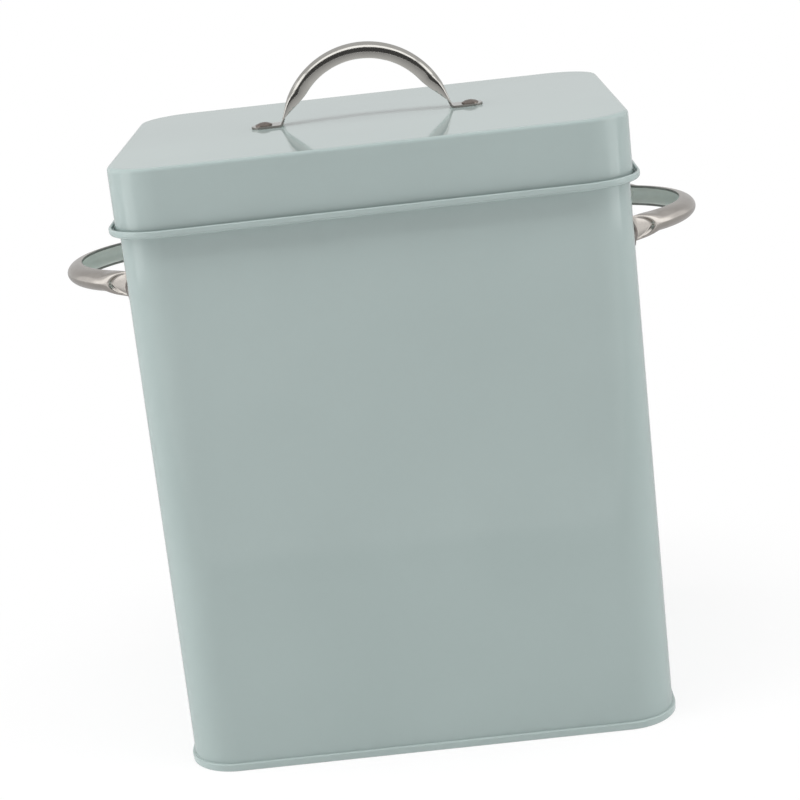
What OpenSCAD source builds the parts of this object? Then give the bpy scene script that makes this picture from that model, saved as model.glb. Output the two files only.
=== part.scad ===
// Metal laundry powder container: a tall sheet steel box with rounded corners, a rolled rim,
// a seamed base, a lift-off lid that plugs into the mouth, and three riveted bow handles.

/* [Body] */
// Width of the body over its side walls
body_w = 240; // [200:1:300]
// Depth of the body over its front and back walls
body_d = 190; // [180:1:240]
// Height of the closed tin up to the lid's flat top
tin_h = 300; // [240:1:360]
// Outer radius of the upright corners
corner_r = 23.5; // [18:0.5:28]
// Thickness of the steel sheet of the body, the base and the lid
sheet = 0.6; // [0.4:0.05:0.8]

/* [Rim of the body] */
// Reach of the rim beyond the wall
rim_out = 4.9; // [4.2:0.1:7]
// Height of the rim from its underside to the top of its rolled edge
rim_h = 3.5; // [3:0.1:6]
// Radius of the rolled edge along the top of the rim
rim_curl_r = 0.7; // [0.5:0.05:0.9]
// Inside radius of the bend from the wall out into the ledge
ledge_bend_r = 0.3; // [0.2:0.05:0.4]
// Inside radius of the bend from the ledge up into the rim
rim_bend_r = 0.8; // [0.5:0.05:1]

/* [Lid] */
// Height of the lid that shows above the rim
lid_show_h = 28.5; // [20:0.5:50]
// Reach of the lid's skirt beyond the body's wall
lid_out = 1.7; // [1.5:0.05:2.1]
// Outer radius of the lid's top edge
lid_edge_r = 2; // [1.2:0.1:4]
// Depth of the plug that goes down into the mouth
plug_h = 9; // [6:0.5:14]
// Gap between the plug and the inside of the wall
plug_gap = 0.35; // [0.25:0.05:0.6]
// Inside radius of the two bends of the step between skirt and plug
step_bend_r = 0.3; // [0.2:0.05:0.4]

/* [Base] */
// Height of the seam that joins the base to the wall
seam_h = 3.8; // [3:0.1:6]
// Reach of the seam beyond the wall
seam_out = 1.4; // [1:0.1:2]
// Radius of the seam's lower outer edge
seam_edge_r = 0.8; // [0.4:0.1:0.9]
// Height of the base panel's underside above the surface that the tin stands on
base_lift = 2.6; // [1.6:0.1:5]
// Gap in the seam beside the wall
seam_gap = 0.05; // [0.03:0.01:0.1]

/* [Handles] */
// Distance between the two rivets of the lid's handle
lid_handle_pitch = 103; // [100:0.5:120]
// Height of the lid's handle above the lid
lid_handle_rise = 36.9; // [32:0.1:42]
// Outer radius of the lid handle's bow
lid_bow_r = 43.2; // [40:0.1:44]
// Distance between the two rivets of a side handle
side_handle_pitch = 122; // [119:0.5:128]
// Reach of the side handles beyond the wall
side_handle_rise = 38.8; // [35:0.1:42]
// Outer radius of the side handles' bows
side_bow_r = 54; // [48:0.5:55]
// Drop from the top of the rim to the middle of the side handles
side_handle_drop = 32.5; // [26:0.5:60]
// Width of the half-round bow
bow_w = 10.3; // [8:0.1:12]
// Depth of the half-round bow
bow_depth = 7.7; // [5:0.1:9]
// Thickness of the handle's sheet
bow_sheet = 1.2; // [0.8:0.05:1.5]
// Width of the flat feet
foot_w = 12.4; // [11:0.1:14]
// Radius of the bend between foot and leg, at the middle of the sheet
foot_bend_r = 2; // [1.5:0.1:3]
// Length of leg over which its sides deepen from the flat foot to the full half-round
taper_len = 20; // [16:1:26]
// Length of the fan-shaped hollow pressed into each leg
hollow_len = 12.5; // [10:0.5:15]
// Depth of the hollow pressed into each leg
hollow_depth = 1.8; // [1:0.1:2]
// Length of the crease where the hollow ends at its furthest point up the leg
crease_len = 1.8; // [1.4:0.1:3]

/* [Rivets] */
// Radius of the rivet's shank
rivet_r = 2; // [1.5:0.1:2.4]
// Gap between the shank and its holes
rivet_gap = 0.05; // [0.03:0.01:0.1]
// Radius of the outer head
head_r = 4.2; // [3.4:0.1:4.6]
// Height of the outer head
head_h = 1.6; // [1:0.1:2.2]
// Height of the upright edge of the outer head
head_edge = 0.4; // [0.2:0.05:0.6]
// Radius of the closed head inside the sheet
tail_r = 3.2; // [2.8:0.1:3.6]
// Height of the closed head inside the sheet
tail_h = 1.1; // [0.7:0.1:1.6]

/* [Hidden] */
$fn = 72;
paint = [0.64, 0.69, 0.68];
steel = [0.74, 0.72, 0.7];

rim_top_z = tin_h - lid_show_h;
ledge_z = rim_top_z - rim_h;
seat_z = ledge_z + sheet;
plug_out = -sheet - plug_gap;
side_z = rim_top_z - side_handle_drop;
LID_HANDLE = [lid_handle_pitch, lid_handle_rise, lid_bow_r];
SIDE_HANDLE = [side_handle_pitch, side_handle_rise, side_bow_r];
hole_r = rivet_r + rivet_gap;

// A quarter of a disc about the origin, from angle start on
module quarter(r, start) {
    intersection() {
        circle(r);
        rotate(start) square(r);
    }
}

// A quarter of a bent sheet about the origin: from angle start, on for 90 degrees
module bend(inner, start) {
    intersection() {
        difference() {
            circle(inner + sheet);
            circle(inner);
        }
        rotate(start) square(inner + 2 * sheet);
    }
}

// Runs a section right round the tin. Its x is the distance out from the body's wall, its y the height.
module round_the_tin() {
    for (turn = [0:3]) {
        along_x = turn % 2 == 0;
        run = (along_x ? body_w : body_d) - 2 * corner_r;
        reach = (along_x ? body_d : body_w) / 2;
        rotate([0, 0, 90 * turn]) {
            translate([-run / 2, reach, 0]) rotate([90, 0, 90]) linear_extrude(run) children();
            translate([-run / 2, reach - corner_r, 0]) rotate([0, 0, 90])
                rotate_extrude(angle = 90) translate([corner_r, 0]) children();
        }
    }
}

// A flat panel with the body's outline, larger by grow all round
module panel(grow, z, thick) {
    r = corner_r + grow;
    w = body_w / 2 - corner_r;
    d = body_d / 2 - corner_r;
    translate([0, 0, z]) linear_extrude(thick) {
        square([2 * w, 2 * (d + r)], center = true);
        square([2 * (w + r), 2 * d], center = true);
        for (x = [-w, w], y = [-d, d]) translate([x, y]) circle(r);
    }
}

// Section of the body's wall, with its ledge and rolled rim
module wall_section() {
    translate([-sheet, sheet]) square([sheet, ledge_z - ledge_bend_r - sheet]);
    translate([ledge_bend_r, ledge_z - ledge_bend_r]) bend(ledge_bend_r, 90);
    rim_bend_x = rim_out - sheet - rim_bend_r;
    translate([ledge_bend_r, ledge_z]) square([rim_bend_x - ledge_bend_r, sheet]);
    translate([rim_bend_x, seat_z + rim_bend_r]) bend(rim_bend_r, 270);
    upright_z = seat_z + rim_bend_r;
    translate([rim_out - sheet, upright_z]) square([sheet, rim_top_z - rim_curl_r - upright_z]);
    translate([rim_out - rim_curl_r, rim_top_z - rim_curl_r]) circle(rim_curl_r);
}

// Section of the seam that folds round the foot of the wall, up to the edge of the panel
module seam_section() {
    inner = -2 * sheet - seam_gap;
    translate([inner, 0]) square([seam_out - seam_edge_r - inner, sheet]);
    translate([inner, 0]) square([sheet, base_lift + sheet]);
    translate([seam_gap, 0]) square([seam_out - seam_edge_r - seam_gap, seam_h]);
    translate([seam_gap, seam_edge_r]) square([seam_out - seam_gap, seam_h - seam_edge_r - sheet]);
    translate([seam_out - seam_edge_r, seam_edge_r]) quarter(seam_edge_r, 270);
    translate([seam_out - sheet, seam_h - sheet]) quarter(sheet, 0);
}

// Section of the lid's skirt, its step on the ledge and its plug in the mouth
module skirt_section() {
    skirt_x = lid_out - sheet;
    step_x = skirt_x - step_bend_r;
    step_z = seat_z + sheet + step_bend_r;
    corner_z = tin_h - lid_edge_r;
    translate([lid_out - lid_edge_r, corner_z]) bend(lid_edge_r - sheet, 0);
    translate([skirt_x, step_z]) square([sheet, corner_z - step_z]);
    translate([step_x, step_z]) bend(step_bend_r, 270);
    translate([plug_out + step_bend_r, seat_z]) square([step_x - plug_out - step_bend_r, sheet]);
    translate([plug_out + step_bend_r, seat_z - step_bend_r]) bend(step_bend_r, 90);
    translate([plug_out - sheet, seat_z - plug_h]) square([sheet, plug_h - step_bend_r]);
}

// The handle's sheet runs along a path in x and z: flat foot, bend, leg and bow. A handle's size is
// its rivets' pitch, its rise and its bow's outer radius, and these say where each stretch begins.
function mid_r(size) = size[2] - bow_sheet / 2;
function bow_z(size) = size[1] - size[2];
function bend_z() = bow_sheet / 2 + foot_bend_r;
function leg_angle(size) = asin((bend_z() - bow_z(size)) / (mid_r(size) + foot_bend_r));
function bend_x(size) = (mid_r(size) + foot_bend_r) * cos(leg_angle(size));
function on_bow(size, a) = [[0, bow_z(size)] + mid_r(size) * [cos(a), sin(a)], [cos(a), sin(a)]];
function leg_turn(size, length) = leg_angle(size) + length / mid_r(size) * 180 / PI;

// Share of the way from a to b, eased at both ends
function eased(t, a, b) = let (u = min(max((t - a) / (b - a), 0), 1)) u * u * (3 - 2 * u);

// A station of the path: place and outward direction, width, depth of the sides, how flat the
// section's top is there, and the way up the leg
function foot_stations(size) = [for (a = [18:18:90])
    [[[size[0] / 2 + foot_w / 2 * cos(a), bow_sheet / 2], [0, 1]], foot_w * sin(a), 0, 1, 0]];
function bend_stations(size) = let (turn = 90 - leg_angle(size)) [for (k = [0:4])
    let (a = 270 - turn * k / 4, way = [cos(a), sin(a)])
    [[[bend_x(size), bend_z()] + foot_bend_r * way, -way], foot_w, 0, 1, 0]];
function station(size, s) = [on_bow(size, leg_turn(size, s)),
    foot_w + (bow_w - foot_w) * eased(s, 0, 1.5 * hollow_len),
    (bow_depth - bow_sheet / 2) * sin(90 * min(s / taper_len, 1)),
    1 - eased(s, 0.5 * hollow_len, 1.5 * hollow_len), s];
function quarter_len(size) = mid_r(size) * (90 - leg_angle(size)) * PI / 180;
function spread(from, to, count) = [for (k = [1:count]) from + (to - from) * k / count];
function leg_lengths(size) = concat(spread(0, hollow_len - crease_len, 7),
    spread(hollow_len - crease_len, hollow_len, 4), spread(hollow_len, 1.5 * hollow_len, 4),
    spread(1.5 * hollow_len, quarter_len(size), 8));
function leg_stations(size) = [for (s = leg_lengths(size)) station(size, s)];
function half_handle(size) = concat(foot_stations(size), bend_stations(size), leg_stations(size));
function mirrored(s) = [[for (v = s[0]) [-v.x, v.y]], s[1], s[2], s[3], s[4]];
function whole_handle(size) = let (half = half_handle(size), n = len(half))
    concat(half, [for (k = [n - 2:-1:0]) mirrored(half[k])]);

// The section across a station, by an angle that runs from one edge over the top to the other. The
// bow is a half ellipse. Near the foot it is squared, with a flatter top and rounded shoulders, and
// the hollow in it is a fan that narrows up the leg: its outline is a pointed arch, with a steep
// crease at its point and soft sides.
SECTION = [-90:15:90];
SQUARED = 2.5;
POINTED = 1.6;
HOLLOW_EDGE = 72;
SOFT_SIDE = 0.3;
TINY = 0.5;
function hollow(s, a) = let (side = abs(a) / HOLLOW_EDGE,
    reach = pow(pow(s / hollow_len, POINTED) + pow(side, POINTED), 1 / POINTED),
    edge = crease_len / hollow_len + SOFT_SIDE * side * side)
    hollow_depth * eased(s, 0, 0.85 * hollow_len) * (1 - eased(reach, 1 - edge, 1));
function drop(s, a) = let (power = 2 + SQUARED * s[3])
    -s[2] * (1 - pow(max(1 - pow(abs(sin(a)), power), 0), 1 / power)) - hollow(s[4], a);
function half_width(s) = s[1] / 2 - bow_sheet / 2 * min(s[2], 1);
function mid_point(s, a) = [half_width(s) * sin(a), drop(s, a)];
function section_point(s, a, side) = let (
    along = mid_point(s, min(a + TINY, 90)) - mid_point(s, max(a - TINY, -90)),
    p = mid_point(s, a) + side * bow_sheet / 2 * [-along.y, along.x] / norm(along),
    place = s[0][0],
    out = s[0][1])
    [place.x + out.x * p.y, p.x, place.y + out.y * p.y];
function section_ring(s) = concat([for (a = SECTION) section_point(s, a, 1)],
    [for (a = SECTION) section_point(s, -a, -1)]);

module bow_handle(size) {
    stations = whole_handle(size);
    ring = len(section_ring(stations[0]));
    last = (len(stations) - 1) * ring;
    points = [for (s = stations) each section_ring(s)];
    sides = [for (i = [0:ring:last - ring], j = [0:ring - 1]) let (k = (j + 1) % ring)
        each [[i + j, i + k, i + ring + k], [i + j, i + ring + k, i + ring + j]]];
    ends = [for (j = [0:ring / 2 - 2]) let (far = ring - 1 - j)
        each [[far, far - 1, j + 1, j], [last + j, last + j + 1, last + far - 1, last + far]]];
    difference() {
        polyhedron(points, concat(sides, ends), convexity = 6);
        for (x = [-1, 1]) translate([x * size[0] / 2, 0, -bow_sheet])
            cylinder(r = hole_r, h = 3 * bow_sheet);
    }
}

// A rivet through foot and sheet, from the sheet's outer face: shank, low round head, closed head
module rivet() {
    dome_h = head_h - head_edge;
    dome_r = (head_r * head_r + dome_h * dome_h) / (2 * dome_h);
    rotate_extrude() {
        translate([0, -sheet]) square([rivet_r, sheet + bow_sheet]);
        translate([0, bow_sheet]) square([head_r, head_edge]);
        intersection() {
            translate([0, bow_sheet + head_h - dome_r]) circle(dome_r);
            translate([0, bow_sheet + head_edge]) square([head_r, dome_h]);
        }
        tail_dome_r = (tail_r * tail_r + tail_h * tail_h) / (2 * tail_h);
        intersection() {
            translate([0, tail_dome_r - sheet - tail_h]) circle(tail_dome_r);
            translate([0, -sheet - tail_h]) square([tail_r, tail_h]);
        }
    }
}

module on_lid() {
    translate([0, 0, tin_h]) children();
}

module on_right_wall() {
    translate([body_w / 2, 0, side_z]) rotate([90, 0, 90]) children();
}

module on_side(left) {
    if (left) mirror([1, 0, 0]) on_right_wall() children();
    else on_right_wall() children();
}

module body_wall() {
    color(paint) difference() {
        round_the_tin() wall_section();
        for (left = [false, true], place = [-1, 1])
            on_side(left) translate([place * side_handle_pitch / 2, 0, -2 * sheet])
                cylinder(r = hole_r, h = 3 * sheet);
    }
}

module base_pan() {
    color(paint) {
        round_the_tin() seam_section();
        panel(-2 * sheet - seam_gap, base_lift, sheet);
    }
}

module side_handle(left) {
    color(steel) on_side(left) bow_handle(SIDE_HANDLE);
}

module side_rivet(left, place) {
    color(steel) on_side(left) translate([place * side_handle_pitch / 2, 0, 0]) rivet();
}

module lid_shell() {
    color(paint) difference() {
        union() {
            round_the_tin() skirt_section();
            panel(lid_out - lid_edge_r, tin_h - sheet, sheet);
        }
        for (x = [-1, 1]) translate([x * lid_handle_pitch / 2, 0, tin_h - 2 * sheet])
            cylinder(r = hole_r, h = 3 * sheet);
    }
}

module lid_handle() {
    color(steel) on_lid() bow_handle(LID_HANDLE);
}

module lid_rivet(place) {
    color(steel) on_lid() translate([place * lid_handle_pitch / 2, 0, 0]) rivet();
}

body_wall();
base_pan();
side_handle(true);  // side_handle_left
side_handle(false);  // side_handle_right
side_rivet(true, -1);  // side_rivet_left_front
side_rivet(true, 1);  // side_rivet_left_back
side_rivet(false, -1);  // side_rivet_right_front
side_rivet(false, 1);  // side_rivet_right_back
lid_shell();
lid_handle();
lid_rivet(-1);  // lid_rivet_left
lid_rivet(1);  // lid_rivet_right
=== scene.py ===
"""Looks of a metal laundry powder container: powder-coated sheet steel and riveted stainless handles.

Sections and handles are worked out in millimetres, and a finished piece is in metres.
"""
import math

import bmesh
import bpy
from mathutils import Matrix, Vector


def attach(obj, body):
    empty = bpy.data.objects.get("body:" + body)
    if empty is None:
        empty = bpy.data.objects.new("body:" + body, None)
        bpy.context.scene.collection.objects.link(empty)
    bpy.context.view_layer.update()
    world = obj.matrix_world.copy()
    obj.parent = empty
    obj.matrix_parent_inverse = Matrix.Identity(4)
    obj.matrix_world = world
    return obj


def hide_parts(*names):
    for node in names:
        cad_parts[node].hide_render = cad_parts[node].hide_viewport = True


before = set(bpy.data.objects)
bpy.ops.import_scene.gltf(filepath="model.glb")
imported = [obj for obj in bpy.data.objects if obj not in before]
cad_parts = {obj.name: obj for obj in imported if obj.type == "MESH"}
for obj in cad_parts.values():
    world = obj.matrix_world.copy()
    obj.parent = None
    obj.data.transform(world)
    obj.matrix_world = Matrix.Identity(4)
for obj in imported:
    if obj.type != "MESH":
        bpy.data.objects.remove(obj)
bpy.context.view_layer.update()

MM = 0.001

# Body, rim, lid and base of the tin
BODY_W, BODY_D, TIN_H, CORNER_R, SHEET = 240, 190, 300, 23.5, 0.6
RIM_OUT, RIM_H, RIM_CURL_R, LEDGE_BEND_R, RIM_BEND_R = 4.9, 3.5, 0.7, 0.3, 0.8
LID_SHOW_H, LID_OUT, LID_EDGE_R, PLUG_H, PLUG_GAP, STEP_BEND_R = 28.5, 1.7, 2, 9, 0.35, 0.3
SEAM_H, SEAM_OUT, SEAM_EDGE_R, SEAM_FOLD_R, BASE_LIFT, SEAM_GAP = 3.8, 1.4, 0.8, 0.3, 2.6, 0.05

# Angle at which the rim's curl ends, and how far inside its bend a flat panel starts
CURL_END, PANEL_INSET = 278, 2

# Heights and the plug's reach
RIM_TOP_Z = TIN_H - LID_SHOW_H
LEDGE_Z = RIM_TOP_Z - RIM_H
SEAT_Z = LEDGE_Z + SHEET
PLUG_OUT = -SHEET - PLUG_GAP

# Handles: pitch of the rivets, rise and outer radius of the bow
LID_HANDLE = (103, 36.9, 43.2)
SIDE_HANDLE = (122, 38.8, 54)
SIDE_DROP = 32.5
SIDE_Z = RIM_TOP_Z - SIDE_DROP

# Handles: the pressed sheet, its taper, and the hollow with its crease in each leg
BOW_W, BOW_DEPTH, BOW_SHEET, FOOT_W, FOOT_BEND_R, BOW_EDGE_R = 10.3, 7.7, 1.2, 12.4, 2, 0.2
TAPER_LEN, HOLLOW_LEN, HOLLOW_DEPTH, CREASE_LEN = 20, 12.5, 1.8, 1.8
SQUARED, POINTED, HOLLOW_EDGE, SOFT_SIDE = 2.5, 1.6, 72, 0.3

# Places up the leg, as shares of the hollow's length
HOLLOW_DEEPEST, FINE_END, FLAT_END, ROUND_START = 0.85, 1.15, 0.5, 1.5

# Rivets
RIVET_R, HEAD_R, HEAD_H, HEAD_EDGE, TAIL_R, TAIL_H = 2, 4.2, 1.6, 0.4, 3.2, 1.1

# How finely the surfaces are divided
CORNER_STEPS = 24
SIDE_SUPPORT = 1.5
BEND_SUPPORT = 0.25
FOOT_STEPS = 12
BEND_STEPS = 8
HOLLOW_STEPS = 40
BOW_STEPS = 32
ACROSS_STEPS = 48
RIVET_STEPS = 48
EDGE_STEPS = 3

# How near two points count as one, and a point as on a side
SAME_POINT, RIVET_SAME_POINT, ON_SIDE = 0.002, 0.001, 0.01


# Sections of the sheet: points (reach beyond the wall, height)

def arc(centre, radius, start, end, steps=6):
    """Points on an arc of a section, from angle start to angle end in degrees."""
    angles = [math.radians(start + (end - start) * k / steps) for k in range(steps + 1)]
    return [(centre[0] + radius * math.cos(a), centre[1] + radius * math.sin(a)) for a in angles]


def supported(points):
    """Adds a point near both ends of each straight stretch, which keeps the shading of a bend to the bend."""
    path = [points[0]]
    for start, end in zip(points, points[1:]):
        length = math.dist(start, end)
        if length > 4 * BEND_SUPPORT:
            for share in (BEND_SUPPORT / length, 1 - BEND_SUPPORT / length):
                path.append(tuple(a + (b - a) * share for a, b in zip(start, end)))
        path.append(end)
    return path


def wall_section():
    """The wall, its ledge and its rolled rim, as a closed outline."""
    bend_x = RIM_OUT - SHEET - RIM_BEND_R
    ledge = (LEDGE_BEND_R, LEDGE_Z - LEDGE_BEND_R)
    rim = (bend_x, SEAT_Z + RIM_BEND_R)
    curl = (RIM_OUT - RIM_CURL_R, RIM_TOP_Z - RIM_CURL_R)
    return supported(
        [(-SHEET, SHEET), (0, SHEET)]
        + arc(ledge, LEDGE_BEND_R, 180, 90, 4)
        + arc(rim, RIM_BEND_R + SHEET, 270, 360)
        + arc(curl, RIM_CURL_R, 0, CURL_END, 18)
        + arc(rim, RIM_BEND_R, 360, 270)
        + arc(ledge, LEDGE_BEND_R + SHEET, 90, 180, 5)
    )


def seam_section():
    """The folded seam at the foot, from the panel's underside round to the panel's upper side."""
    inner = -2 * SHEET - SEAM_GAP
    return supported(
        [(inner - PANEL_INSET, BASE_LIFT), (inner, BASE_LIFT)]
        + arc((inner + SEAM_FOLD_R, SEAM_FOLD_R), SEAM_FOLD_R, 180, 270, 4)
        + arc((SEAM_OUT - SEAM_EDGE_R, SEAM_EDGE_R), SEAM_EDGE_R, 270, 360)
        + arc((SEAM_OUT - SHEET, SEAM_H - SHEET), SHEET, 0, 90)
        + [(SEAM_GAP, SEAM_H), (SEAM_GAP, SHEET), (-SHEET - SEAM_GAP, SHEET)]
        + [(-SHEET - SEAM_GAP, BASE_LIFT + SHEET), (inner - PANEL_INSET, BASE_LIFT + SHEET)]
    )


def lid_section():
    """The lid's pressing, from the inside of its top over step and plug to the outside of its top."""
    step_x, step_z = LID_OUT - SHEET - STEP_BEND_R, SEAT_Z + SHEET + STEP_BEND_R
    top = (LID_OUT - LID_EDGE_R, TIN_H - LID_EDGE_R)
    plug = (PLUG_OUT + STEP_BEND_R, SEAT_Z - STEP_BEND_R)
    return supported(
        [(top[0] - PANEL_INSET, TIN_H - SHEET)]
        + arc(top, LID_EDGE_R - SHEET, 90, 0, 8)
        + arc((step_x, step_z), STEP_BEND_R, 360, 270, 4)
        + arc(plug, STEP_BEND_R + SHEET, 90, 180, 5)
        + [(PLUG_OUT - SHEET, SEAT_Z - PLUG_H), (PLUG_OUT, SEAT_Z - PLUG_H)]
        + arc(plug, STEP_BEND_R, 180, 90, 4)
        + arc((step_x, step_z), STEP_BEND_R + SHEET, 270, 360, 5)
        + arc(top, LID_EDGE_R, 0, 90, 10)
        + [(top[0] - PANEL_INSET, TIN_H)]
    )


# Making pieces

def finished(name, mesh, body, slot, material, *nodes, place=Matrix.Identity(4), sharp=50):
    """Turns a bmesh in millimetres into a smooth-shaded piece in metres that stands for CAD nodes."""
    bmesh.ops.transform(mesh, matrix=Matrix.Scale(MM, 4) @ place, verts=mesh.verts)
    data = bpy.data.meshes.new(name)
    mesh.to_mesh(data)
    mesh.free()
    data.shade_smooth()
    data.set_sharp_from_angle(angle=math.radians(sharp))
    data.materials.append(material)
    piece = bpy.data.objects.new(name, data)
    bpy.context.scene.collection.objects.link(piece)
    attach(piece, body)
    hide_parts(*nodes)
    return piece


def outline_ring(mesh):
    """The edges of the body's outline, rounded at its corners, with a support near each end of its sides."""
    bmesh.ops.create_grid(mesh, x_segments=1, y_segments=1, size=1)
    bmesh.ops.scale(mesh, vec=(BODY_W / 2, BODY_D / 2, 1), verts=mesh.verts)
    bmesh.ops.bevel(mesh, geom=mesh.verts[:], offset=CORNER_R, offset_type="OFFSET", affect="VERTICES",
                    segments=CORNER_STEPS, profile=0.5, material=-1)
    bmesh.ops.delete(mesh, geom=mesh.faces[:], context="FACES_ONLY")
    sides = [e for e in mesh.edges if e.calc_length() > 2 * CORNER_R]
    added = bmesh.ops.subdivide_edges(mesh, edges=sides, cuts=2)["geom_inner"]
    for vert in [v for v in added if isinstance(v, bmesh.types.BMVert)]:
        if abs(vert.co.y) > BODY_D / 2 - ON_SIDE:
            vert.co.x = math.copysign(BODY_W / 2 - CORNER_R - SIDE_SUPPORT, vert.co.x)
        else:
            vert.co.y = math.copysign(BODY_D / 2 - CORNER_R - SIDE_SUPPORT, vert.co.y)
    return mesh.edges[:]


def place_ring(ring, reach, height):
    """Moves a ring of edges to a reach beyond the wall and a height."""
    core_x, core_y = BODY_W / 2 - CORNER_R, BODY_D / 2 - CORNER_R
    for vert in {v for e in ring for v in e.verts}:
        core = Vector((min(max(vert.co.x, -core_x), core_x), min(max(vert.co.y, -core_y), core_y), 0))
        way = Vector((vert.co.x - core.x, vert.co.y - core.y, 0)).normalized()
        vert.co = core + way * (CORNER_R + reach)
        vert.co.z = height


def extruded(mesh, ring):
    """The ring that extruding a ring of edges gives."""
    made = bmesh.ops.extrude_edge_only(mesh, edges=ring)["geom"]
    verts = {v for v in made if isinstance(v, bmesh.types.BMVert)}
    return [e for e in mesh.edges if e.verts[0] in verts and e.verts[1] in verts]


def swept_round(section, closed):
    """Runs a section right round the tin. An open one ends in two flat panels."""
    mesh = bmesh.new()
    first = ring = outline_ring(mesh)
    place_ring(ring, *section[0])
    for point in section[1:]:
        ring = extruded(mesh, ring)
        place_ring(ring, *point)
    if closed:
        bmesh.ops.bridge_loops(mesh, edges=first + ring)
    else:
        for end in (first, ring):
            bmesh.ops.edgeloop_fill(mesh, edges=end)
    bmesh.ops.recalc_face_normals(mesh, faces=mesh.faces)
    return mesh


# Handles

def eased(value, start, end):
    """Share of the way from start to end, eased at both ends."""
    share = min(max((value - start) / (end - start), 0), 1)
    return share * share * (3 - 2 * share)


def hollow(length, angle):
    """Depth of the hollow: a fan that narrows up the leg, with a crease at its point and soft sides."""
    side = abs(angle) / HOLLOW_EDGE
    reach = ((length / HOLLOW_LEN) ** POINTED + side ** POINTED) ** (1 / POINTED)
    edge = CREASE_LEN / HOLLOW_LEN + SOFT_SIDE * side ** 2
    return HOLLOW_DEPTH * eased(length, 0, HOLLOW_DEEPEST * HOLLOW_LEN) * (1 - eased(reach, 1 - edge, 1))


def foot_stations(size):
    """Stations over a flat foot: point, outward way, width, depth, flatness, way up the leg."""
    stations = []
    for k in range(FOOT_STEPS + 1):
        turn = math.pi / 2 * k / FOOT_STEPS
        point = (size[0] / 2 + FOOT_W / 2 * math.cos(turn), BOW_SHEET / 2)
        stations.append((point, (0, 1), FOOT_W * math.sin(turn), 0, 1, 0))
    return stations


def bend_stations(bend_x, bend_z, leg):
    """Stations round the bend between foot and leg."""
    stations = []
    for k in range(BEND_STEPS + 1):
        turn = math.radians(270) - (math.radians(90) - leg) * k / BEND_STEPS
        way = (math.cos(turn), math.sin(turn))
        point = (bend_x + FOOT_BEND_R * way[0], bend_z + FOOT_BEND_R * way[1])
        stations.append((point, (-way[0], -way[1]), FOOT_W, 0, 1, 0))
    return stations


def bow_stations(mid_r, bow_z, leg):
    """Stations up a leg and along the bow to its apex, closer together over the hollow."""
    near, quarter = FINE_END * HOLLOW_LEN, mid_r * (math.pi / 2 - leg)
    lengths = [near * k / HOLLOW_STEPS for k in range(1, HOLLOW_STEPS + 1)]
    lengths += [near + (quarter - near) * k / BOW_STEPS for k in range(1, BOW_STEPS + 1)]
    stations = []
    for s in lengths:
        turn = leg + s / mid_r
        way = (math.cos(turn), math.sin(turn))
        width = FOOT_W + (BOW_W - FOOT_W) * eased(s, 0, ROUND_START * HOLLOW_LEN)
        depth = BOW_DEPTH * math.sin(math.pi / 2 * min(s / TAPER_LEN, 1))
        flat = 1 - eased(s, FLAT_END * HOLLOW_LEN, ROUND_START * HOLLOW_LEN)
        stations.append(((mid_r * way[0], bow_z + mid_r * way[1]), way, width, depth, flat, s))
    return stations


def half_path(size):
    """The stations from a foot's tip to the bow's apex."""
    mid_r, bow_z = size[2] - BOW_SHEET / 2, size[1] - size[2]
    bend_z = BOW_SHEET / 2 + FOOT_BEND_R
    leg = math.asin((bend_z - bow_z) / (mid_r + FOOT_BEND_R))
    bend_x = (mid_r + FOOT_BEND_R) * math.cos(leg)
    return foot_stations(size) + bend_stations(bend_x, bend_z, leg) + bow_stations(mid_r, bow_z, leg)


def whole_path(size):
    """The stations of both halves, from tip to tip."""
    half = half_path(size)
    other = [((-p[0], p[1]), (-w[0], w[1]), *rest) for p, w, *rest in half[-2::-1]]
    return half + other


def sheet_point(station, angle):
    """A point on the outside of the handle's sheet, at an angle across it from -90 to 90."""
    point, way, width, depth, flat, length = station
    across = math.sin(math.radians(angle))
    power = 2 + SQUARED * flat
    fall = depth * (1 - max(1 - abs(across) ** power, 0) ** (1 / power))
    lift = BOW_SHEET / 2 - fall - hollow(length, angle)
    return Vector((point[0] + way[0] * lift, across * width / 2, point[1] + way[1] * lift))


def handle(name, size, place, body, node, outside, inside, cut):
    """A bow handle: one sheet with flat feet, a hollow in each leg and a half-round bow.

    Its outside, inside and cut edges have a finish each.
    """
    path = whole_path(size)
    mesh = bmesh.new()
    mesh.loops.layers.uv.new("UVMap")
    bmesh.ops.create_grid(mesh, x_segments=len(path) - 1, y_segments=ACROSS_STEPS, size=1, calc_uvs=True)
    for vert in mesh.verts:
        station = path[round((vert.co.x + 1) / 2 * (len(path) - 1))]
        vert.co = sheet_point(station, vert.co.y * 90)
    bmesh.ops.remove_doubles(mesh, verts=mesh.verts, dist=SAME_POINT)
    mesh.normal_update()
    if max(mesh.faces, key=lambda f: f.calc_center_median().z).normal.z < 0:
        bmesh.ops.reverse_faces(mesh, faces=mesh.faces)
    piece = finished(name, mesh, body, "bare_steel", outside, node, place=place, sharp=60)
    gauge = piece.modifiers.new("gauge", "SOLIDIFY")
    gauge.thickness = BOW_SHEET * MM
    gauge.offset = -1
    piece.data.materials.append(inside)
    piece.data.materials.append(cut)
    gauge.material_offset, gauge.material_offset_rim = 1, 2
    rim = piece.modifiers.new("rim", "BEVEL")
    rim.width = BOW_EDGE_R * MM
    rim.segments = EDGE_STEPS
    rim.limit_method = "ANGLE"
    rim.angle_limit = math.radians(60)


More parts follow.
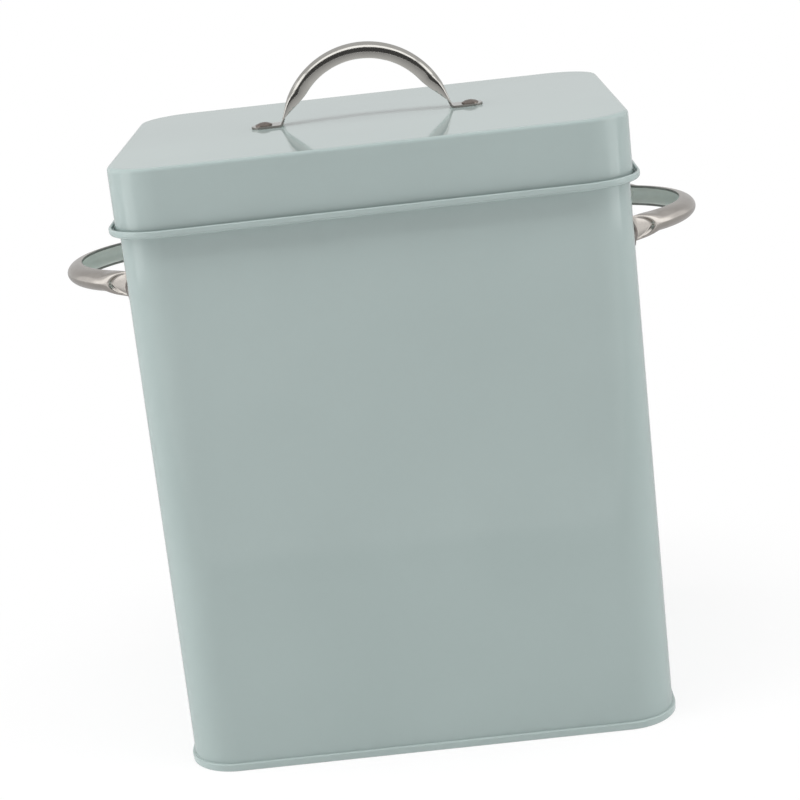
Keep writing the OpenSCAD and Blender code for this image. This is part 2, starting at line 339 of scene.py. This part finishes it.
def rivet(name, x, place, body, node, material):
    """A rivet: low round head over the foot, shank, and closed head inside the sheet."""
    dome_h = HEAD_H - HEAD_EDGE
    dome_r = (HEAD_R ** 2 + dome_h ** 2) / (2 * dome_h)
    tail_dome_r = (TAIL_R ** 2 + TAIL_H ** 2) / (2 * TAIL_H)
    top = math.degrees(math.asin(HEAD_R / dome_r))
    low = math.degrees(math.asin(TAIL_R / tail_dome_r))
    profile = arc((0, BOW_SHEET + HEAD_H - dome_r), dome_r, 90, 90 - top, 10)
    profile += [(HEAD_R, BOW_SHEET), (RIVET_R, BOW_SHEET), (RIVET_R, -SHEET)]
    profile += arc((0, tail_dome_r - SHEET - TAIL_H), tail_dome_r, 270 + low, 270, 8)
    mesh = bmesh.new()
    verts = [mesh.verts.new((reach, 0, height)) for reach, height in profile]
    edges = [mesh.edges.new(pair) for pair in zip(verts, verts[1:])]
    bmesh.ops.spin(mesh, geom=verts + edges, cent=(0, 0, 0), axis=(0, 0, 1), angle=2 * math.pi,
                   steps=RIVET_STEPS, use_merge=True)
    bmesh.ops.remove_doubles(mesh, verts=mesh.verts, dist=RIVET_SAME_POINT)
    bmesh.ops.recalc_face_normals(mesh, faces=mesh.faces)
    place = place @ Matrix.Translation((x, 0, 0))
    finished(name, mesh, body, "rivet_steel", material, node, place=place, sharp=40)


# Materials, with colours as they look on screen

# Coat: dark and light tone, and a painted highlight for its tight edges
PAINT_DARK, PAINT_LIGHT, PAINT_EDGE_HIGHLIGHT = (164, 178, 176), (168, 182, 180), (212, 221, 220)
STEEL_RUBBED = (208, 205, 201)
RIVET_DARK, RIVET_LIGHT, RIVET_RUBBED = (128, 118, 112), (146, 136, 130), (180, 174, 169)

# Finishes of the handles: dark and light grey, roughness, strength of the scratches, share of metal
FINISHES = {
    "polished_steel": ((184, 182, 177), (191, 189, 184), (0.1, 0.15), 0.008, 1),
    "satin_steel": ((180, 175, 169), (189, 184, 178), (0.19, 0.25), 0.03, 1),
    "matte_steel": ((232, 233, 229), (239, 240, 236), (0.42, 0.5), 0.03, 0.25),
    "cut_steel": ((132, 128, 124), (154, 150, 146), (0.28, 0.38), 0.05, 1),
}


def node(tree, kind, settings=None, **sockets):
    """Adds a shader node, with settings on the node and values or links on its sockets."""
    made = tree.nodes.new(kind)
    for key, value in (settings or {}).items():
        setattr(made, key, value)
    for key, value in sockets.items():
        socket = made.inputs[key.replace("_", " ")]
        if isinstance(value, bpy.types.NodeSocket):
            tree.links.new(value, socket)
        else:
            socket.default_value = value
    return made


def grain_group():
    """Noise between two values, for tone, gloss and fine bumps."""
    tree = bpy.data.node_groups.new("grain", "ShaderNodeTree")
    tree.interface.new_socket(name="Vector", in_out="INPUT", socket_type="NodeSocketVector")
    for name in ("Scale", "Detail", "Low", "High"):
        tree.interface.new_socket(name=name, in_out="INPUT", socket_type="NodeSocketFloat")
    tree.interface.new_socket(name="Value", in_out="OUTPUT", socket_type="NodeSocketFloat")
    given = tree.nodes.new("NodeGroupInput")
    noise = node(tree, "ShaderNodeTexNoise", Vector=given.outputs["Vector"], Scale=given.outputs["Scale"],
                 Detail=given.outputs["Detail"], Roughness=0.55)
    spread = node(tree, "ShaderNodeMapRange", Value=noise.outputs["Fac"], From_Min=0.3, From_Max=0.7,
                  To_Min=given.outputs["Low"], To_Max=given.outputs["High"])
    put = tree.nodes.new("NodeGroupOutput")
    tree.links.new(spread.outputs["Result"], put.inputs["Value"])
    return tree


def edge_group():
    """A mask of the sheet's tight outer edges: on the coat it places a painted highlight, on bare metal it
    marks edges rubbed bright.
    """
    tree = bpy.data.node_groups.new("edge", "ShaderNodeTree")
    for name in ("Width", "Strength"):
        tree.interface.new_socket(name=name, in_out="INPUT", socket_type="NodeSocketFloat")
    tree.interface.new_socket(name="Mask", in_out="OUTPUT", socket_type="NodeSocketFloat")
    given = tree.nodes.new("NodeGroupInput")
    rounded = node(tree, "ShaderNodeBevel", {"samples": 4}, Radius=given.outputs["Width"])
    surface = tree.nodes.new("ShaderNodeNewGeometry")
    facing = node(tree, "ShaderNodeVectorMath", {"operation": "DOT_PRODUCT"})
    tree.links.new(rounded.outputs["Normal"], facing.inputs[0])
    tree.links.new(surface.outputs["Normal"], facing.inputs[1])
    turned = node(tree, "ShaderNodeMapRange", Value=facing.outputs["Value"], From_Min=1.0, From_Max=0.8,
                  To_Min=0.0, To_Max=given.outputs["Strength"])
    put = tree.nodes.new("NodeGroupOutput")
    tree.links.new(turned.outputs["Result"], put.inputs["Mask"])
    return tree


def placed(tree, group, **sockets):
    """Places a node group in a material with its own values."""
    return node(tree, "ShaderNodeGroup", {"node_tree": group}, **sockets)


def mixed(tree, share, low, high):
    """A colour between two, by a share."""
    made = node(tree, "ShaderNodeMix", {"data_type": "RGBA"})
    for socket, value in ((made.inputs[0], share), (made.inputs[6], low), (made.inputs[7], high)):
        if isinstance(value, bpy.types.NodeSocket):
            tree.links.new(value, socket)
        else:
            socket.default_value = value
    return made.outputs[2]


def colour(red, green, blue):
    """A colour given as it looks on screen, from 0 to 255, as the shader takes it."""
    def linear(value):
        value /= 255
        return value / 12.92 if value <= 0.04045 else ((value + 0.055) / 1.055) ** 2.4
    return (linear(red), linear(green), linear(blue), 1)


def new_material(name):
    """An empty material with a Principled shader."""
    material = bpy.data.materials.new(name)
    material.use_nodes = True
    return material, material.node_tree, material.node_tree.nodes["Principled BSDF"]


def powder_coat(grain, edge):
    """Pale grey green powder coat: semi-gloss, with a fine orange peel, a faint unevenness of tone and a
    painted highlight on its tight edges.
    """
    material, tree, shader = new_material("powder_coat")
    where = tree.nodes.new("ShaderNodeTexCoord").outputs["Object"]
    tone = placed(tree, grain, Vector=where, Scale=9.0, Detail=2.0, Low=0.0, High=1.0)
    coat = mixed(tree, tone.outputs["Value"], colour(*PAINT_DARK), colour(*PAINT_LIGHT))
    # Painted highlight on the coat's tight edges: the rolled rim, the foot seam and the lid's edge
    edge_highlight = placed(tree, edge, Width=0.0007, Strength=0.6)
    coat = mixed(tree, edge_highlight.outputs["Mask"], coat, colour(*PAINT_EDGE_HIGHLIGHT))
    tree.links.new(coat, shader.inputs["Base Color"])
    gloss = placed(tree, grain, Vector=where, Scale=60.0, Detail=3.0, Low=0.045, High=0.065)
    tree.links.new(gloss.outputs["Value"], shader.inputs["Roughness"])
    peel = placed(tree, grain, Vector=where, Scale=500.0, Detail=2.0, Low=0.0, High=1.0)
    bump = node(tree, "ShaderNodeBump", Strength=0.02, Distance=0.00003, Height=peel.outputs["Value"])
    tree.links.new(bump.outputs["Normal"], shader.inputs["Normal"])
    return material


def pressed_steel(grain, edge, name, dark, light, rough, scratches, metallic):
    """A finish of the handles' stainless sheet, with fine scratches that follow the bow."""
    material, tree, shader = new_material(name)
    along = tree.nodes.new("ShaderNodeTexCoord").outputs["UV"]
    drawn = node(tree, "ShaderNodeMapping", Vector=along, Scale=(0.8, 30.0, 1.0)).outputs["Vector"]
    where = tree.nodes.new("ShaderNodeTexCoord").outputs["Object"]
    tone = placed(tree, grain, Vector=where, Scale=130.0, Detail=3.0, Low=0.0, High=1.0)
    metal = mixed(tree, tone.outputs["Value"], colour(*dark), colour(*light))
    rubbed = placed(tree, edge, Width=0.0004, Strength=0.5)
    metal = mixed(tree, rubbed.outputs["Mask"], metal, colour(*STEEL_RUBBED))
    tree.links.new(metal, shader.inputs["Base Color"])
    shader.inputs["Metallic"].default_value = metallic
    brush = placed(tree, grain, Vector=drawn, Scale=4.0, Detail=4.0, Low=rough[0], High=rough[1])
    tree.links.new(brush.outputs["Value"], shader.inputs["Roughness"])
    line = placed(tree, grain, Vector=drawn, Scale=9.0, Detail=4.0, Low=0.0, High=1.0)
    bump = node(tree, "ShaderNodeBump", Strength=scratches, Distance=0.00002, Height=line.outputs["Value"])
    tree.links.new(bump.outputs["Normal"], shader.inputs["Normal"])
    return material


def rivet_steel(grain, edge):
    """Rivet heads: a little darker and rougher than the handles."""
    material, tree, shader = new_material("rivet_steel")
    where = tree.nodes.new("ShaderNodeTexCoord").outputs["Object"]
    tone = placed(tree, grain, Vector=where, Scale=400.0, Detail=3.0, Low=0.0, High=1.0)
    metal = mixed(tree, tone.outputs["Value"], colour(*RIVET_DARK), colour(*RIVET_LIGHT))
    rubbed = placed(tree, edge, Width=0.0003, Strength=0.4)
    metal = mixed(tree, rubbed.outputs["Mask"], metal, colour(*RIVET_RUBBED))
    tree.links.new(metal, shader.inputs["Base Color"])
    shader.inputs["Metallic"].default_value = 1
    worn = placed(tree, grain, Vector=where, Scale=900.0, Detail=2.0, Low=0.25, High=0.38)
    tree.links.new(worn.outputs["Value"], shader.inputs["Roughness"])
    bump = node(tree, "ShaderNodeBump", Strength=0.1, Distance=0.00003, Height=tone.outputs["Value"])
    tree.links.new(bump.outputs["Normal"], shader.inputs["Normal"])
    return material


# The stage, in metres and degrees

# The camera as fitted to the photograph, its focal length in the photograph's pixels
AZIMUTH, ELEVATION, ROLL, DISTANCE, TARGET = 1.08, 15.14, -6.49, 1.08446, (0.00031, 0, 0.15295)
FOCAL_PX, PHOTO_PX, SENSOR_MM = 2104.74, 800, 36

# The world's strength where it lights, and half the floor's width
WORLD_LIGHT, FLOOR_HALF = 0.41, 6

# Lamps: centre, target, width, height, power
LAMPS = {
    "overhead": ((0, -0.69, 2.2), (0, -0.69, 0.3), 3.8, 0.66, 39.5),
    "left": ((-1.4, 0.05, 0.7), (0, 0.05, 0.3), 1.1, 1.3, 13),
    "right": ((1.4, 0.05, 0.7), (0, 0.05, 0.3), 1.1, 1.3, 8),
}

# Cards: centre, width, height, tilt, turn, grey at the lower or front edge and at the opposite edge
CARDS = {
    "overhead_card": ((0, -0.72, 2.19), 3.8, 0.72, 0, 0, 1.85, 1.85),
    "left_card": ((-1.35, -0.33, 0.75), 0.67, 1.5, 90, 90, 1.8, 1.8),
    "right_card": ((1.35, -0.33, 0.75), 0.67, 1.5, 90, 90, 1.8, 1.8),
    "flag": ((0, -1.5, 2.04), 5.2, 1.9, 90, 0, 0.08, 0.08),
    "room": ((0, -1.6, 0.55), 5.2, 1.1, 90, 0, 0.85, 0.4),
    "table": ((0, 0.8, 0.003), 6.0, 2.4, 0, 0, 0.58, 0.58),
    "backdrop": ((0, 2.0, 1.12), 6.0, 2.24, 90, 0, 0.7, 0.58),
    "ceiling": ((0, 0.82, 2.25), 6.0, 2.36, 0, 0, 0.7, 0.7),
}


def background_rays(tree):
    """1 for rays that show the background: from the camera, off gloss and through glass."""
    rays = tree.nodes.new("ShaderNodeLightPath").outputs
    total = rays["Is Camera Ray"]
    for kind in ("Is Glossy Ray", "Is Transmission Ray"):
        total = node(tree, "ShaderNodeMath", {"operation": "MAXIMUM"}, Value=total)
        tree.links.new(rays[kind], total.inputs[1])
        total = total.outputs["Value"]
    return total


def studio_world(strength):
    """White where it is seen, and an even soft light where it lights."""
    world = bpy.data.worlds.new("studio")
    world.use_nodes = True
    bpy.context.scene.world = world
    tree = world.node_tree
    level = node(tree, "ShaderNodeMapRange", Value=background_rays(tree), To_Min=strength, To_Max=1.0)
    tree.links.new(level.outputs["Result"], tree.nodes["Background"].inputs["Strength"])
    tree.nodes["Background"].inputs["Color"].default_value = (1, 1, 1, 1)


def floor():
    """A plain pale floor that fades into the white background and keeps the object's shadow."""
    mesh = bmesh.new()
    bmesh.ops.create_grid(mesh, x_segments=1, y_segments=1, size=FLOOR_HALF)
    data = bpy.data.meshes.new("floor")
    mesh.to_mesh(data)
    mesh.free()
    plane = bpy.data.objects.new("floor", data)
    bpy.context.scene.collection.objects.link(plane)
    material, tree, shader = new_material("floor")
    shader.inputs["Base Color"].default_value = (0.9, 0.9, 0.9, 1)
    shader.inputs["Roughness"].default_value = 0.9
    shader.inputs["Specular IOR Level"].default_value = 0
    where = tree.nodes.new("ShaderNodeTexCoord").outputs["Object"]
    far = node(tree, "ShaderNodeVectorMath", {"operation": "LENGTH"})
    tree.links.new(where, far.inputs[0])
    fade = node(tree, "ShaderNodeMapRange", {"interpolation_type": "SMOOTHSTEP"}, Value=far.outputs["Value"],
                From_Min=0.15, From_Max=0.32, To_Min=0.8, To_Max=1.0)
    share = node(tree, "ShaderNodeMath", {"operation": "MULTIPLY"}, Value=fade.outputs["Result"])
    tree.links.new(background_rays(tree), share.inputs[1])
    white = node(tree, "ShaderNodeEmission", Strength=1.0)
    mix = node(tree, "ShaderNodeMixShader", Fac=share.outputs["Value"])
    tree.links.new(shader.outputs["BSDF"], mix.inputs[1])
    tree.links.new(white.outputs["Emission"], mix.inputs[2])
    tree.links.new(mix.outputs["Shader"], tree.nodes["Material Output"].inputs["Surface"])
    data.materials.append(material)


def grey_card(name, centre, width, height, tilt, turn, low, high):
    """A card that only gloss shows, from one grey at an edge to another at the opposite edge."""
    mesh = bmesh.new()
    bmesh.ops.create_grid(mesh, x_segments=1, y_segments=1, size=0.5)
    bmesh.ops.scale(mesh, vec=(width, height, 1), verts=mesh.verts)
    data = bpy.data.meshes.new(name)
    mesh.to_mesh(data)
    mesh.free()
    card = bpy.data.objects.new(name, data)
    stand = Matrix.Rotation(math.radians(turn), 4, "Z") @ Matrix.Rotation(math.radians(tilt), 4, "X")
    card.matrix_world = Matrix.Translation(centre) @ stand
    bpy.context.scene.collection.objects.link(card)
    card.visible_camera = card.visible_diffuse = card.visible_shadow = card.visible_transmission = False
    material, tree, _ = new_material(name)
    where = node(tree, "ShaderNodeSeparateXYZ", Vector=tree.nodes.new("ShaderNodeTexCoord").outputs["Object"])
    grey = node(tree, "ShaderNodeMapRange", Value=where.outputs["Y"],
                From_Min=-height / 2, From_Max=height / 2, To_Min=low, To_Max=high)
    glow = node(tree, "ShaderNodeEmission", Strength=grey.outputs["Result"])
    tree.links.new(glow.outputs["Emission"], tree.nodes["Material Output"].inputs["Surface"])
    data.materials.append(material)


def softbox(name, centre, target, width, height, power):
    """A soft area lamp that points at a target. Gloss shows a card near it instead, which doesn't clip."""
    lamp = bpy.data.lights.new(name, "AREA")
    lamp.shape = "RECTANGLE"
    lamp.size, lamp.size_y, lamp.energy = width, height, power
    box = bpy.data.objects.new(name, lamp)
    way = Vector(target) - Vector(centre)
    box.matrix_world = Matrix.Translation(centre) @ way.to_track_quat("-Z", "Y").to_matrix().to_4x4()
    box.visible_glossy = False
    bpy.context.scene.collection.objects.link(box)


def camera(azimuth, elevation, roll, distance, target, lens):
    """The photograph's view: angles in degrees, distance and target in metres."""
    a, e, r = (math.radians(value) for value in (azimuth, elevation, roll))
    back = Vector((math.sin(a) * math.cos(e), -math.cos(a) * math.cos(e), math.sin(e)))
    right = (-back).cross(Vector((0, 0, 1))).normalized()
    up = right.cross(-back)
    right, up = math.cos(r) * right + math.sin(r) * up, math.cos(r) * up - math.sin(r) * right
    data = bpy.data.cameras.new("camera")
    data.lens, data.sensor_width = lens, SENSOR_MM
    made = bpy.data.objects.new("camera", data)
    turn = Matrix((right, up, back)).transposed().to_4x4()
    made.matrix_world = Matrix.Translation(Vector(target) + back * distance) @ turn
    bpy.context.scene.collection.objects.link(made)
    bpy.context.scene.camera = made


def stage_and_lights():
    """Camera, floor, lamps and cards."""
    camera(AZIMUTH, ELEVATION, ROLL, DISTANCE, TARGET, FOCAL_PX / PHOTO_PX * SENSOR_MM)
    studio_world(WORLD_LIGHT)
    floor()
    for name, values in LAMPS.items():
        softbox(name, *values)
    for name, values in CARDS.items():
        grey_card(name, *values)


# The object

def tin(coat):
    """Body, base and lid."""
    finished("tin_wall", swept_round(wall_section(), True), "container", "painted_steel", coat, "body_wall")
    finished("tin_base", swept_round(seam_section(), False), "container", "painted_steel", coat, "base_pan")
    finished("tin_lid", swept_round(lid_section(), False), "lid", "painted_steel", coat, "lid_shell")


def handles_and_rivets(polished, satin, inside, cut, rivets):
    """The lid's handle, the two side handles and their six rivets."""
    lid = Matrix.Translation((0, 0, TIN_H))
    outward = Matrix(((0, 0, 1, 0), (1, 0, 0, 0), (0, 1, 0, 0), (0, 0, 0, 1)))
    right = Matrix.Translation((BODY_W / 2, 0, SIDE_Z)) @ outward
    left = Matrix.Rotation(math.pi, 4, "Z") @ right
    handle("bow_lid", LID_HANDLE, lid, "lid", "lid_handle", polished, inside, cut)
    handle("bow_left", SIDE_HANDLE, left, "container", "side_handle_left", satin, inside, cut)
    handle("bow_right", SIDE_HANDLE, right, "container", "side_handle_right", satin, inside, cut)
    for end, way in (("left", -1), ("right", 1)):
        rivet(f"rivet_lid_{end}", way * LID_HANDLE[0] / 2, lid, "lid", f"lid_rivet_{end}", rivets)
    for side, place in (("left", left), ("right", right)):
        for end, way in (("front", -1), ("back", 1)):
            way = way if side == "right" else -way
            rivet(f"rivet_{side}_{end}", way * SIDE_HANDLE[0] / 2, place, "container",
                  f"side_rivet_{side}_{end}", rivets)


bpy.context.scene.view_settings.view_transform = "Standard"
stage_and_lights()
grain, edge = grain_group(), edge_group()
tin(powder_coat(grain, edge))
polished, satin, inside, cut = [
    pressed_steel(grain, edge, name, *values) for name, values in FINISHES.items()
]
handles_and_rivets(polished, satin, inside, cut, rivet_steel(grain, edge))
